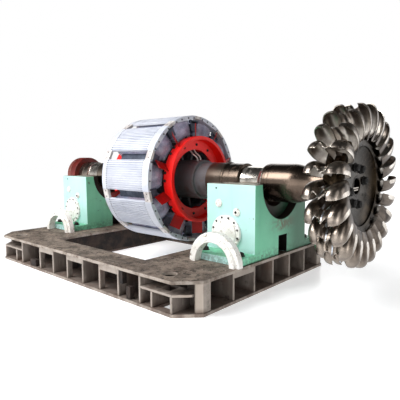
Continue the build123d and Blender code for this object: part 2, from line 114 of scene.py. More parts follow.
class Graph:
    def __init__(self, tree):
        self.nodes, self.links = tree.nodes, tree.links
        self.nodes.clear()

    def node(self, kind, settings, sockets, out=0):
        made = self.nodes.new("ShaderNode" + kind)
        for key, value in settings.items():
            if key == "stops":
                ramp = made.color_ramp
                ramp.interpolation = "CONSTANT"
                while len(ramp.elements) < len(value):
                    ramp.elements.new(1.0)
                for element, (place, colour) in zip(ramp.elements, value):
                    element.position, element.color = place, colour
            else:
                setattr(made, key, value)
        for key, value in sockets.items():
            if isinstance(value, Tone):
                self.links.new(value.socket, made.inputs[key])
            else:
                made.inputs[key].default_value = value
        return Tone(self, made.outputs[out]) if made.outputs else made

    def axes(self, vector):
        parts = self.node("SeparateXYZ", {}, {0: vector})
        return [Tone(self, parts.socket.node.outputs[i]) for i in range(3)]

    def mix(self, mask, first, second):
        return self.node("Mix", {"data_type": "RGBA"}, {0: mask, 6: first, 7: second}, 2)

    def layers(self, colour, *laid):  # each layer is a mask and the shade that it lays on
        for mask, shade in laid:
            colour = self.mix(mask, tint(colour), tint(shade))
        return colour


class Finish(Graph):
    def __init__(self, name):
        self.material = bpy.data.materials.new(name + "_finish")
        self.material.use_nodes = True
        super().__init__(self.material.node_tree)
        self.spot = self.node("TexCoord", {}, {}, "Object")
        self.facing = Tone(self, self.spot.socket.node.outputs["Normal"])

    def shaftReach(self):  # distance from the shaft's centre line
        x, y, z = self.axes(self.spot)
        across, above = y - shaftLine["y"], z - shaftLine["z"]
        return (across * across + above * above).root()

    def noise(self, scale, detail=4.0, rough=0.6, stretch=None, bend=0.0):
        spot = self.spot
        if stretch:
            spot = self.node("VectorMath", {"operation": "MULTIPLY"}, {0: spot, 1: stretch})
        return self.node("TexNoise", {}, {"Vector": spot, "Scale": scale, "Detail": detail,
                                          "Roughness": rough, "Distortion": bend})

    def surface(self, colour, rough, metal=0.0, height=None, strength=0.4, depth=0.002, **fixed):
        named = {"Base Color": colour, "Roughness": rough, "Metallic": metal}
        named.update({key.replace("_", " "): value for key, value in fixed.items()})
        if height is not None:
            bump = {"Strength": strength, "Distance": depth, "Height": height}
            named["Normal"] = self.node("Bump", {}, bump)
        shader = self.node("BsdfPrincipled", {}, named)
        self.node("OutputMaterial", {}, {"Surface": shader})
        return self.material


def tint(shade):  # a screen colour as the shader wants it
    return shade if isinstance(shade, Tone) else tuple((part / 255) ** 2.2 for part in shade) + (1.0,)


# mesh making

def moved(x, y, z):
    return Matrix.Translation((x, y, z))


def turned(angle, axis="X"):
    return Matrix.Rotation(radians(angle), 4, axis)


def around(angle, x=0.0, reach=0.0):  # local Z points away from the shaft
    return moved(0, shaftLine["y"], shaftLine["z"]) @ turned(angle) @ moved(x, 0, reach)


def facingFront(x, y, z):  # local Z points out of the front, towards -Y
    return moved(x, y, z) @ turned(90)


def facingShaftEnd(angle, x, reach, side=1):  # local Z points along the shaft
    return around(angle, x, reach) @ turned(side * 90, "Y")


def newObject(name, data):
    obj = bpy.data.objects.new(name, data)
    scene.collection.objects.link(obj)
    return obj


class Form:
    def __init__(self):
        self.points, self.faces = [], []

    def add(self, shape, place):
        points, faces = shape
        start = len(self.points)
        self.points += [place @ Vector(p) for p in points]
        self.faces += [[start + i for i in face] for face in faces]
        return self

    def piece(self, name, body, slotName, replaced=(), crease=35, bevel=0.0, finish=None):
        mesh = bpy.data.meshes.new(name)
        mesh.from_pydata(self.points, [], self.faces)
        work = bmesh.new()
        work.from_mesh(mesh)
        bmesh.ops.dissolve_degenerate(work, dist=1e-7, edges=work.edges)
        bmesh.ops.recalc_face_normals(work, faces=work.faces)
        work.to_mesh(mesh)
        work.free()
        mesh.shade_smooth()
        mesh.set_sharp_from_angle(angle=radians(crease))
        mesh.materials.append(finish or finishes[slotName])
        obj = newObject(name, mesh)
        if bevel:
            softEdges(obj, bevel)
        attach(obj, body)
        if replaced:
            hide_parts(*replaced)


def softEdges(obj, width):
    bevel = obj.modifiers.new("edges", "BEVEL")
    bevel.width, bevel.segments = width, 2
    bevel.limit_method, bevel.angle_limit = "ANGLE", radians(32)


def stack(rings, capped=True):  # body from rings of equal count
    n, count = len(rings[0]), len(rings)
    points = [p for ring in rings for p in ring]
    faces = [[i * n + j, i * n + (j + 1) % n, (i + 1) % count * n + (j + 1) % n, (i + 1) % count * n + j]
             for i in range(count - 1 if capped else count) for j in range(n)]
    if capped:
        faces += [list(range(n)), [(count - 1) * n + j for j in range(n)]]
    return points, faces


def lathe(profile, steps=96, bored=True, sweep=360.0):  # profile of (x, reach) turned about X
    whole, n = sweep >= 360, len(profile)
    angles = [radians(sweep * i / steps) for i in range(steps if whole else steps + 1)]
    points, faces = stack([[(x, -r * sin(a), r * cos(a)) for x, r in profile] for a in angles], not whole)
    if not bored:  # flat ends take the place of the bore
        faces = [face for k, face in enumerate(faces) if (k + 1) % n]
        faces += [[i * n + end for i in range(steps)] for end in (0, n - 1)]
    return points, faces


def ring(radius, z, sides, turn=0.0):
    angles = [turn + 2 * pi * i / sides for i in range(sides)]
    return [(radius * cos(a), radius * sin(a), z) for a in angles]


def plug(radius, low, high, sides=24):
    return stack([ring(radius, low, sides), ring(radius, high, sides)])


def stud(radius, height, sides=12):  # round head, base at z 0
    cut = min(radius, height) * 0.25
    return stack([ring(radius, -0.004, sides), ring(radius, height - cut, sides),
                  ring(radius - cut, height, sides)])


def hexHead(form, place, radius, height, turn=0.0):  # washer, chamfered hexagon and the end of its thread
    form.add(plug(radius * 1.22, -0.003, height * 0.14, 20), place)
    hexagon = [ring(radius * share, height * z, 6, turn) for share, z in ((1, 0.14), (1, 0.82), (0.86, 1))]
    form.add(stack(hexagon), place)
    form.add(stud(radius * 0.5, height * 1.16), place)


def hole(form, radius, place):  # a dark disc that just covers the surface: painted shade inside a hole
    form.add(plug(radius, -0.004, 0.0008), place)


def boltCircle(form, x, side, circle):  # heads on a face across the shaft
    count, start, reach, radius, height = circle
    for i in range(count):
        hexHead(form, facingShaftEnd(360 / count * i + start, x, reach, side), radius, height)


def block(x0, x1, y0, y1, z0, z1):
    low = [(x0, y0, z0), (x1, y0, z0), (x1, y1, z0), (x0, y1, z0)]
    return stack([low, [(x, y, z1) for x, y, z in low]])


# finishes

def topPlateSteel():
    f = Finish("top_plate")
    up = f.axes(f.facing)[2]
    mottle, patch, speck = f.noise(5.0, 9.0, 0.7), f.noise(1.7, 5.0, bend=0.6), f.noise(60.0, 3.0, 0.7)
    pit = f.noise(16.0, 6.0, 0.7, bend=0.3)
    top = f.layers(
        (74, 64, 56), (mottle.rise(0.36, 0.62), (134, 120, 108)),
        (patch.rise(0.50, 0.72) * 0.6, (78, 62, 50)), (pit.rise(0.53, 0.60) * 0.85, (30, 24, 20)),
        (speck.rise(0.58, 0.70) * 0.7, (186, 174, 160)))
    side = f.layers(
        (122, 110, 100), (mottle.rise(0.38, 0.60), (164, 154, 144)),
        (pit.rise(0.54, 0.66) * 0.7, (88, 62, 48)))
    colour = f.layers(side, (up.rise(0.5, 0.9), top))
    return f.surface(colour, 0.58 + mottle * 0.35, 0.0, mottle * 0.6 + speck * 0.2 + pit * 0.2, 0.55, 0.005)


baseShades = {"edge": 0.026, "shadeStart": 0.06, "shadeFull": 0.34, "darkeningLow": 0.03, "darkeningHigh": 0.10}


def baseSteel():
    f = Finish("base_steel")
    s = baseShades
    middle, halfLong = (base["left"] + base["right"]) / 2, (base["right"] - base["left"]) / 2
    x, y, z = f.axes(f.spot)
    outX, outY, up = f.axes(f.facing)
    mottle, patch, fine = f.noise(6.0, 8.0, 0.68), f.noise(1.9, 5.0, bend=0.5), f.noise(50.0, 3.0, 0.65)
    bays = f.noise(1.3, 1.0, 0.5).rise(0.44, 0.54)
    streak = f.noise(9.0, 5.0, 0.65, (1.0, 1.0, 0.18))
    edgeX, edgeY = halfLong - s["edge"], base["rear"] - s["edge"]
    rim = (abs(y) - edgeY).most(abs(x - middle) - edgeX).rise(0.0, 0.008) * (1.0 - up.rise(0.3, 0.8))
    # painted shade: darker away from the outer edges, most in the bays, where the frame shades its own inside
    inwardShade = (base["rear"] - abs(y)).least(halfLong - abs(x - middle)).rise(s["shadeStart"], s["shadeFull"])
    # painted light: faces turned both to +X and to -Y are lighter, as where the lamps fall on them
    corner = outX.rise(0.4, 0.6) * (0.0 - outY).rise(0.4, 0.6)
    # darker brown streaks along the bottom, fading out between 3 and 10 cm up
    footDarkening = (1.0 - z.rise(s["darkeningLow"], s["darkeningHigh"])) * streak.rise(0.40, 0.60)
    colour = f.layers(
        (104, 94, 87), (streak.rise(0.35, 0.7), (146, 136, 128)),
        (patch.rise(0.52, 0.74) * 0.6, (108, 82, 68)), (mottle.rise(0.55, 0.70) * 0.75, (54, 45, 40)),
        (rim * mottle.rise(0.3, 0.5) * 0.6, (172, 162, 152)),
        (inwardShade * (0.40 + bays * 0.52), (30, 24, 20)), (corner * 0.6, (196, 182, 168)),
        (footDarkening * 0.65, (74, 52, 40)))
    return f.surface(colour, 0.60 + mottle * 0.35, 0.0, mottle * 0.7 + fine * 0.3, 0.45, 0.004)


# painted shade: a near-black copy of the base steel for the pit walls and the bay blocks
def pitShade():
    f = Finish("pit_wall")
    mottle, fine = f.noise(7.0, 7.0, 0.66), f.noise(50.0, 3.0)
    colour = f.layers((22, 17, 15), (mottle.rise(0.38, 0.64), (54, 42, 35)))
    return f.surface(colour, 0.66 + fine * 0.25, 0.0, mottle * 0.6 + fine * 0.4, 0.4, 0.003)


mintShades = {
    "stainY": 0.30, "stainZ": 0.74, "seatReach": 0.4405, "seatFade": 0.003, "jointLow": 1.22,
    "jointHigh": 1.23, "slotY": 0.245, "slotHalf": 0.102, "slotTop": 0.598, "slotDeep": 0.122,
}


def mintPaint():
    f = Finish("mint_paint")
    s = mintShades
    x, y, z = f.axes(f.spot)
    cloud, fine, chip = f.noise(2.4, 5.0, 0.55), f.noise(30.0), f.noise(11.0, 6.0, 0.72, bend=0.4)
    streak = f.noise(7.0, stretch=(1.0, 1.0, 0.12))
    outX, outY, outZ = f.axes(f.facing)
    frontLitPaint = f.layers((172, 216, 208), (cloud.rise(0.3, 0.7), (184, 226, 222)))  # paler copy of the paint on faces turned to the front: painted light where the front lamps fall
    below = (1.0 - abs(y - s["stainY"]).rise(0.05, 0.42)) * (1.0 - abs(z - s["stainZ"]).rise(0.02, 0.12))
    foot = 1.0 - z.rise(0.38, 0.53)
    seat = 1.0 - f.shaftReach().rise(s["seatReach"], s["seatReach"] + s["seatFade"])
    grease = f.layers((34, 26, 23), (cloud.rise(0.4, 0.6), (64, 48, 40)))
    upper = outZ.rise(0.7, 0.95) * z.rise(s["jointLow"], s["jointHigh"])
    # painted shadow: faces turned to +X get darker towards +Y, where the runner shades them
    rear = outX.rise(0.5, 0.9) * y.rise(0.05, 0.62)
    inFrom = abs(x - pedestalRights[1]).least(abs(x - pedestalRights[0]))
    # painted shade: the inside of the slot near each pedestal's right end is near-black
    slot = (s["slotHalf"] - abs(y - s["slotY"])).least(s["slotTop"] - z).least(s["slotDeep"] - inFrom)
    colour = f.layers(
        (118, 204, 164), (cloud.rise(0.3, 0.7), (132, 216, 178)), ((0.0 - outY).rise(0.6, 0.9), frontLitPaint),
        (streak.rise(0.52, 0.78) * 0.3, (104, 172, 148)),
        (below * chip.rise(0.42, 0.56) * 0.8, (128, 98, 80)), (chip.rise(0.64, 0.68) * 0.8, (92, 84, 74)),
        (foot * fine.rise(0.40, 0.60) * 0.5, (84, 92, 76)), (seat, grease), (upper, (150, 146, 134)),
        (rear * 0.9, (54, 104, 78)), (slot.rise(0.0005, 0.0012), (18, 14, 13)))
    return f.surface(colour, 0.36 + fine * 0.2 + seat * 0.12, 0.0, fine * 0.5 + chip * 0.5, 0.18, 0.002)


def offWhitePaint():
    f = Finish("off_white_paint")
    cloud, fine, chip = f.noise(7.0, 6.0, 0.65), f.noise(45.0), f.noise(22.0, 7.0, 0.75, bend=0.5)
    colour = f.layers(
        (246, 245, 241), (cloud.rise(0.35, 0.7), (226, 223, 215)),
        (chip.rise(0.54, 0.62) * 0.75, (146, 132, 114)), (chip.rise(0.62, 0.66), (84, 70, 58)))
    return f.surface(colour, 0.5 + fine * 0.25, 0.0, chip * 0.6 + fine * 0.4, 0.3, 0.002)


shaftShades = {
    "start": -3.0, "long": 6.0, "journal": (1.130, 1.136, 1.405, 1.415),
    "stretches": [  # where each begins along X, its colour and how bare it is
        (-3.0, (150, 138, 128), 1), (-2.180, (204, 198, 190), 1), (-1.898, (150, 138, 126), 1),
        (-0.776, (84, 82, 85), 0), (0.600, (84, 74, 66), 0.85), (0.851, (240, 232, 218), 1),
        (0.861, (104, 92, 82), 1), (0.887, (88, 78, 70), 1), (1.133, (214, 208, 198), 1),
        (1.475, (96, 84, 75), 1), (2.20, (84, 74, 66), 1),
    ],
}


def shaftSteel():
    f = Finish("shaft_steel")
    s = shaftShades
    x = f.axes(f.spot)[0]
    rust, fine = f.noise(5.0, 7.0, 0.66, bend=0.6), f.noise(40.0)
    stain = f.noise(2.6, 6.0, 0.62, (1.6, 1.0, 1.0), 0.8)
    turning = f.noise(1.0, 4.0, 0.7, (260.0, 1.0, 1.0))
    places = [(begin - s["start"]) / s["long"] for begin, shade, bare in s["stretches"]]
    shades = [tint(shade) for begin, shade, bare in s["stretches"]]
    bares = [(bare, bare, bare, 1.0) for begin, shade, bare in s["stretches"]]
    span = (x - s["start"]) / s["long"]
    colour = f.node("ValToRGB", {"stops": list(zip(places, shades))}, {0: span})
    metal = f.axes(f.node("ValToRGB", {"stops": list(zip(places, bares))}, {0: span}))[0]
    colour = f.layers(
        colour, (rust.rise(0.50, 0.68) * 0.55, (78, 60, 50)), (stain.rise(0.52, 0.70) * 0.5, (50, 38, 32)))
    low, lowEnd, high, highEnd = s["journal"]
    journal = x.rise(low, lowEnd) * (1.0 - x.rise(high, highEnd))
    rough = 0.14 + rust * 0.16 + turning * 0.08 + (1.0 - metal) * 0.30 - journal * 0.12
    wave = (turning * 0.6 + fine * 0.4) * (1.0 - journal * 0.8)
    return f.surface(colour, rough, metal * (1.0 - rust.rise(0.52, 0.7) * 0.5), wave, 0.12, 0.001)


drumSizes = {"grooves": (-2.6505, -2.6125), "grooveHalf": 0.004, "grooveDeep": 0.004, "radius": 0.310,
             "boltX": -2.673, "bolts": (8, 10, 0.261, 0.013, 0.010)}  # count, turn, reach, radius, height


def oxidePaint():
    f = Finish("oxide_paint")
    x = f.axes(f.spot)[0]
    cloud, fine = f.noise(6.0, 6.0, 0.65), f.noise(60.0, 3.0)
    middles = [start + drumSizes["grooveHalf"] for start in drumSizes["grooves"]]
    bare = 1.0 - abs(x - middles[0]).least(abs(x - middles[1])).rise(0.0035, 0.0045)
    colour = f.layers(
        (122, 36, 27), (cloud.rise(0.35, 0.65), (88, 27, 22)), (fine.rise(0.55, 0.7) * 0.4, (140, 72, 56)),
        (bare, (226, 206, 194)))
    return f.surface(colour, 0.30 + fine * 0.25, bare * 0.9, cloud * 0.5 + fine * 0.5, 0.2, 0.001)


def poleSteel():
    f = Finish("pole_steel")
    cloud, fine, streak = f.noise(3.0, 5.0), f.noise(60.0), f.noise(6.0, 5.0, 0.62, (0.3, 1.0, 1.0))
    colour = f.layers(
        (204, 207, 216), (streak.rise(0.35, 0.65), (186, 190, 202)),
        (cloud.rise(0.58, 0.74) * 0.45, (158, 160, 174)), (fine.rise(0.62, 0.72) * 0.4, (130, 128, 136)))
    return f.surface(colour, 0.42 + fine * 0.2, 0.1, cloud * 0.3 + fine * 0.7, 0.15, 0.001)


def coilInsulation():
    f = Finish("coil_insulation")
    cloud, fine = f.noise(5.0, 5.0, bend=0.5), f.noise(55.0)
    patch, hue = f.noise(2.2, 3.0, 0.5), f.noise(3.1, 3.0, 0.5, bend=0.6)
    colour = f.layers(
        (176, 178, 204), (cloud.rise(0.35, 0.65), (124, 126, 150)),
        (patch.rise(0.48, 0.6) * 0.5, (160, 138, 150)), (hue.rise(0.50, 0.64) * 0.5, (108, 134, 158)),
        (fine.rise(0.6, 0.72) * 0.4, (80, 78, 90)))
    return f.surface(colour, 0.18 + fine * 0.18, 0.0, fine, 0.15, 0.001, Coat_Weight=0.9, Coat_Roughness=0.12)


# the blades' red is a darker copy of the ring's red: painted shade for blades that sit behind the ring
redShades = {"red_paint": ((255, 24, 12), (244, 16, 10)), "blade_paint": ((168, 8, 6), (132, 6, 6))}


def redPaint(name):
    f = Finish(name)
    bright, dull = redShades[name]
    cloud, fine = f.noise(5.0, 5.0), f.noise(40.0)
    colour = f.layers(bright, (cloud.rise(0.3, 0.7), dull), (fine.rise(0.62, 0.74) * 0.4, (110, 12, 10)))
    return f.surface(colour, 0.38 + fine * 0.2, 0.0, cloud * 0.4 + fine * 0.6, 0.15, 0.001)


runnerShades = {  # light and dark shade, stain, roughness, and where along a bucket a painted shading comes in: cups darker towards the tip, backs lighter towards the tip
    "runner_steel": ((112, 101, 91), (56, 47, 41), 0.6, 0.18, (0.68, 0.90, (156, 146, 136))),
    "runner_cup": ((250, 244, 236), (206, 196, 184), 0.25, 0.22, (0.62, 0.84, (96, 84, 76))),
    "runner_rim": ((226, 220, 210), (186, 178, 168), 0.25, 0.15, None),
    "runner_disc": ((48, 41, 32), (28, 23, 18), 0.5, 0.15, None),
    # painted reflection: the valley panels are a pale blue-grey sheet for the light the flat valley reflects
    "runner_panel": ((196, 204, 214), (130, 138, 148), 0.2, 0.15, None),
}


def runnerSteel(name):
    f = Finish(name)
    light, dark, stained, rough, outer = runnerShades[name]
    cloud, fine = f.noise(4.5, 7.0, 0.68, bend=0.8), f.noise(70.0)
    brush, pock = f.noise(14.0, 5.0, bend=2.0), f.noise(120.0, 2.0, 0.5)
    colour = f.layers(
        light, (cloud.rise(0.38, 0.66), dark), (brush.rise(0.54, 0.70) * stained, (70, 58, 50)),
        (pock.rise(0.66, 0.70) * 0.6, (44, 38, 34)))
    metal = 1.0
    if outer:  # painted light and shade: a bucket's tip is shaded apart from its root
        reach = f.shaftReach()
        colour = f.layers(colour, (reach.rise(outer[0], outer[1]) * 0.85, outer[2]))
        metal = 0.35 + 0.65 * reach.rise(0.60, 0.68)
    wave = brush * 0.5 + fine * 0.2 + pock * 0.3
    return f.surface(colour, rough + cloud * 0.14 + fine * 0.08, metal, wave, 0.16, 0.002)


def rotorSteel():
    f = Finish("rotor_steel")
    cloud, fine = f.noise(6.0, 6.0, 0.65), f.noise(50.0)
    colour = f.layers(
        (86, 84, 90), (cloud.rise(0.35, 0.65), (58, 56, 60)),
        (fine.rise(0.58, 0.72) * 0.5, (124, 118, 118)))
    return f.surface(colour, 0.45 + fine * 0.3, 0.3, cloud * 0.5 + fine * 0.5, 0.2, 0.001)


plainShades = {  # light and dark shade, cloud noise and its start, grain noise, roughness, metal and bump
    "bolt_steel": ((24, 21, 20), (48, 41, 36), (16.0, 5.0), 0.40, (90.0, 3.0), (0.42, 0.3), 0.3, 0.25),
    "bearing_bronze": ((104, 82, 58), (66, 52, 42), (8.0, 6.0), 0.35, (60.0, 3.0), (0.35, 0.25), 0.8, 0.15),
    "bracket_steel": ((220, 216, 212), (170, 162, 160), (9.0, 5.0), 0.35, (60.0,), (0.45, 0.25), 0.2, 0.2),
    # the gap plates' dark blue-grey is painted shade
    "gap_cover": ((84, 92, 108), (56, 62, 76), (9.0, 5.0), 0.35, (60.0,), (0.45, 0.25), 0.2, 0.2),
}


def plainSteel(name):
    f = Finish(name)
    light, dark, clouds, start, grain, rough, metal, bump = plainShades[name]
    cloud, fine = f.noise(*clouds), f.noise(*grain)
    colour = f.layers(light, (cloud.rise(start, 0.65), dark))
    return f.surface(colour, rough[0] + fine * rough[1], metal, fine, bump, 0.001)


# painted shade: near-black for holes, bores and hollows; the damper bar ends and the runner's bolt heads,
# pins and dowels take it too
def hollowShade():
    f = Finish("dark_hollow")
    cloud = f.noise(20.0)
    return f.surface(f.layers((8, 7, 7), (cloud, (24, 20, 18))), 0.7 + cloud * 0.2, 0.0, cloud, 0.2, 0.001)


finishes = {
    "base_steel": baseSteel(), "mint_paint": mintPaint(), "off_white_paint": offWhitePaint(),
    "bolt_steel": plainSteel("bolt_steel"), "shaft_steel": shaftSteel(), "oxide_paint": oxidePaint(),
    "pole_steel": poleSteel(), "coil_insulation": coilInsulation(), "red_paint": redPaint("red_paint"),
    "runner_steel": runnerSteel("runner_steel"), "rotor_steel": rotorSteel(),
    "bearing_bronze": plainSteel("bearing_bronze"),
}
bracketFinish, gapShadeFinish = plainSteel("bracket_steel"), plainSteel("gap_cover")
hollowShadeFinish, plateFinish, pitShadeFinish = hollowShade(), topPlateSteel(), pitShade()
# the fan blades get the darker, shaded copy of the red paint
bladeShadedFinish = redPaint("blade_paint")
rimFinish, discFinish = runnerSteel("runner_rim"), runnerSteel("runner_disc")
cupFinish, panelReflectionFinish = runnerSteel("runner_cup"), runnerSteel("runner_panel")
print("finishes made")


# CAD nodes that stay

edgeWidths = {"base_steel": 0.004, "mint_paint": 0.006, "red_paint": 0.002, "rotor_steel": 0.003}
# the pit walls and the bay blocks take the near-black painted shade
nodeFinishes = {
    "rotor_coil_brackets": finishes["rotor_steel"], "rotor_damper_links": bracketFinish,
    "rotor_fan_blades": bladeShadedFinish, "bay_blocks": pitShadeFinish,
}
for sideName in ("front", "rear", "left", "right"):
    nodeFinishes[sideName + "_pit_wall"] = pitShadeFinish
    nodeFinishes["top_plate_" + sideName] = plateFinish


def dressNodes():
    for name, obj in nodes.items():
        slotName = obj.data.materials[0].name.split(".")[0]
        obj.data.materials.clear()
        obj.data.materials.append(nodeFinishes.get(name, finishes[slotName]))
        weld = obj.modifiers.new("weld", "WELD")
        weld.merge_threshold = 0.00005
        softEdges(obj, edgeWidths.get(slotName, 0.002))


dressNodes()
print("nodes dressed")


# shaft and collector drum

shaftSizes = {
    "steps": 128, "grooves": (1.521, 1.563), "grooveDeep": 0.004, "grooveWide": 0.006, "grooveSlope": 0.0015,
    "coupling": 0.233, "taperX": 1.818, "taperStep": 0.026, "taperMiddle": 0.2005, "taperSwing": 0.0325,
    "left": [  # stub, collar with a groove, left journal and the shaft up to the rotor
        (-2.726, 0.120), (-2.726, 0.170), (-2.718, 0.178), (-2.449, 0.178), (-2.445, 0.226), (-2.441, 0.230),
        (-2.325, 0.230), (-2.321, 0.226), (-2.311, 0.226), (-2.307, 0.230), (-2.184, 0.230), (-2.180, 0.226),
        (-2.175, 0.200), (-2.172, 0.198), (-1.906, 0.198), (-1.901, 0.201), (-1.898, 0.231), (-1.894, 0.235),
        (-0.785, 0.235),
    ],
    "middle": [  # barrel, collar with a small ring, sleeve and right journal up to the coupling
        (-0.781, 0.271), (-0.776, 0.275), (0.409, 0.275), (0.417, 0.267), (0.421, 0.244), (0.427, 0.240),
        (0.850, 0.240), (0.852, 0.2465), (0.860, 0.2465), (0.862, 0.240), (0.883, 0.240), (0.891, 0.232),
        (0.975, 0.232), (0.978, 0.229), (0.984, 0.229), (0.987, 0.232), (1.125, 0.232), (1.131, 0.226),
        (1.135, 0.201), (1.139, 0.198), (1.407, 0.198), (1.415, 0.200), (1.425, 0.204), (1.465, 0.230),
        (1.473, 0.233),
    ],
    "flange": [(2.345, 0.168), (2.367, 0.180), (2.3797, 0.205), (2.3797, 0.295), (2.385, 0.300),
               (2.419, 0.300), (2.4244, 0.295), (2.4244, 0.12)],
}


def shaftPiece():
    s = shaftSizes
    taper = [(s["taperX"] + s["taperStep"] * i, s["taperMiddle"] + s["taperSwing"] * cos(radians(15 * i)))
             for i in range(13)]
    grooves = []
    for x in s["grooves"]:
        low, end = s["coupling"] - s["grooveDeep"], x + s["grooveWide"]
        grooves += [(x, s["coupling"]), (x + s["grooveSlope"], low), (end, low),
                    (end + s["grooveSlope"], s["coupling"])]
    profile = s["left"] + s["middle"] + grooves + taper + s["flange"]
    form = Form().add(lathe(profile, s["steps"], False), around(0))
    form.piece("shaft_turned", "rotor", "shaft_steel", ["shaft"], 25)


def drumPiece():
    s = drumSizes
    r, low = s["radius"], s["radius"] - s["grooveDeep"]
    profile = [(-2.685, 0.188), (-2.685, 0.232), (-2.673, 0.238), (-2.673, 0.284), (-2.685, 0.292),
               (-2.685, 0.304), (-2.679, r)]
    for x in s["grooves"]:
        end = x + 2 * s["grooveHalf"]
        profile += [(x, r), (x + 0.001, low), (end - 0.001, low), (end, r)]
    profile += [(-2.4517, r), (-2.4457, 0.304), (-2.4457, 0.188)]
    form = Form().add(lathe(profile), around(0))
    form.piece("collector_drum_turned", "rotor", "oxide_paint", ["collector_drum"], 25)
    heads = Form()
    boltCircle(heads, s["boltX"], -1, s["bolts"])
    heads.piece("collector_drum_bolts", "rotor", "bolt_steel")


shaftPiece()
drumPiece()
print("shaft line made")


# rotor

poleLeft, poleRight = sideOf("rotor_poles", "left"), sideOf("rotor_poles", "right")
rotorSizes = {
    "radius": 0.900, "poles": 10, "phase": 85.0, "gap": 0.140, "leftRow": 0.088, "rightRow": 0.126,
    "shoe": 0.062, "coreHalf": 0.1253, "coreInset": 0.100, "rim": 0.560,
    "grooves": 14, "grooveWide": 0.012, "grooveDeep": 0.011, "coilLow": 0.600, "coilHigh": 0.828,
    "coilHalf": 0.1919, "coilEnd": 0.062, "coilCorner": 0.160, "turns": 15,
}
polePitch = 360 / rotorSizes["poles"]
poleTurns = [rotorSizes["phase"] + polePitch * i for i in range(rotorSizes["poles"])]
gapTurns = [turn + polePitch / 2 for turn in poleTurns]
shoeHalfTurn = polePitch / 2 - degrees(asin(rotorSizes["gap"] / 2 / rotorSizes["radius"]))
rowPlaces = (poleLeft + rotorSizes["leftRow"], poleRight - rotorSizes["rightRow"])
grooveTurns = [shoeHalfTurn * (2 * (i + 0.5) / rotorSizes["grooves"] - 1)
               for i in range(rotorSizes["grooves"])]


def shoeSection(grooved):
    s = rotorSizes
    r, under = s["radius"], s["radius"] - s["shoe"]
    half, deep = degrees(s["grooveWide"] / 2 / r), s["grooveDeep"] if grooved else 0.0
    polar = [(-shoeHalfTurn, r - 0.003)]
    for turn in grooveTurns:
        polar += [(turn - half, r), (turn - half * 0.8, r - deep), (turn + half * 0.8, r - deep),
                  (turn + half, r)]
    polar.append((shoeHalfTurn, r - 0.003))
    points = [(d * sin(radians(a)), d * cos(radians(a))) for a, d in polar]
    edge = r * sin(radians(shoeHalfTurn))
    return points + [(edge - 0.002, under + 0.004), (edge - 0.010, under), (-edge + 0.010, under),
                     (-edge + 0.002, under + 0.004)]


def poleShoes():
    form, s = Form(), rotorSizes
    for turn in poleTurns:
        for x0, x1, grooved in ((poleLeft, rowPlaces[0], False), (rowPlaces[0], rowPlaces[1], True),
                                (rowPlaces[1], poleRight, False)):
            section = shoeSection(grooved)
            form.add(stack([[(x, y, z) for y, z in section] for x in (x0, x1)]), around(turn))
        half, inset = s["coreHalf"], s["coreInset"]
        form.add(block(poleLeft + inset, poleRight - inset, -half, half, s["rim"],
                       s["radius"] - s["shoe"] + 0.001), around(turn))
    form.piece("rotor_pole_shoes", "rotor", "pole_steel", ["rotor_poles"], 25)


boltSizes = {
    "barRadius": 0.0095, "barHigh": 0.0015, "barSunk": 0.0016, "linkReach": 0.8955, "linkInset": 0.05,
    "linkTurns": (-2.6, 2.6), "linkHead": (0.011, 0.004), "endReach": 0.868, "endHead": (0.010, 0.008),
    "endTurns": (-shoeHalfTurn + 1.6, -4.5, 4.5, shoeHalfTurn - 1.6),
}


def barEnds():
    form, s = Form(), boltSizes
    reach = rotorSizes["radius"] - s["barSunk"]
    for turn in poleTurns:
        for x in rowPlaces:
            for a in grooveTurns:
                form.add(stud(s["barRadius"], s["barHigh"]), around(turn + a, x, reach))
    # the bar ends are near-black with painted shade
    form.piece("damper_bar_ends", "rotor", "bolt_steel", finish=hollowShadeFinish)


def endBolts():
    form, s = Form(), boltSizes
    for turn in poleTurns:
        for a in s["endTurns"]:
            for x, side in ((poleLeft, -1), (poleRight, 1)):
                hexHead(form, facingShaftEnd(turn + a, x, s["endReach"], side), *s["endHead"])
    for turn in gapTurns:
        for a in s["linkTurns"]:
            for x in (poleLeft + s["linkInset"], poleRight - s["linkInset"]):
                hexHead(form, around(turn + a, x, s["linkReach"]), *s["linkHead"])
    form.piece("damper_segment_bolts", "rotor", "bolt_steel", finish=finishes["rotor_steel"])


def coilPath(half, left, right, corner):
    path = []
    for cx, cy, start in ((right - corner, half - corner, 0), (left + corner, half - corner, 90),
                          (left + corner, -half + corner, 180), (right - corner, -half + corner, 270)):
        path += [(cx + corner * cos(radians(start + a)), cy + corner * sin(radians(start + a)))
                 for a in (0, 22.5, 45, 67.5, 90)]
    return path


def coils():
    form, s = Form(), rotorSizes
    left, right = poleLeft + s["coreInset"] - s["coilEnd"], poleRight - s["coreInset"] + s["coilEnd"]
    pitch = (s["coilHigh"] - s["coilLow"]) / s["turns"]
    levels = []
    for i in range(s["turns"]):
        low = s["coilLow"] + pitch * i
        swell = -0.010 + 0.012 * sin(pi * (i + 0.5) / s["turns"])
        levels += [(low + 0.0008, swell - 0.0022), (low + pitch * 0.22, swell), (low + pitch * 0.78, swell)]
    levels.append((s["coilHigh"], -0.014))
    rings = []
    for z, out in levels:
        path = coilPath(s["coilHalf"] + out, left - out, right + out, s["coilCorner"] + out)
        rings.append([(x, y, z) for x, y in path])
    inner = coilPath(s["coreHalf"] + 0.001, poleLeft + s["coreInset"] - 0.001,
                     poleRight - s["coreInset"] + 0.001, 0.004)
    rings += [[(x, y, z) for x, y in inner] for z in (s["coilHigh"] - 0.002, s["coilLow"] + 0.002)]
    for turn in poleTurns:
        form.add(stack(rings, False), around(turn))
    form.piece("rotor_coils_wound", "rotor", "coil_insulation", ["rotor_coils"], 50)


poleShoes()
barEnds()
endBolts()
coils()
print("poles and coils made")

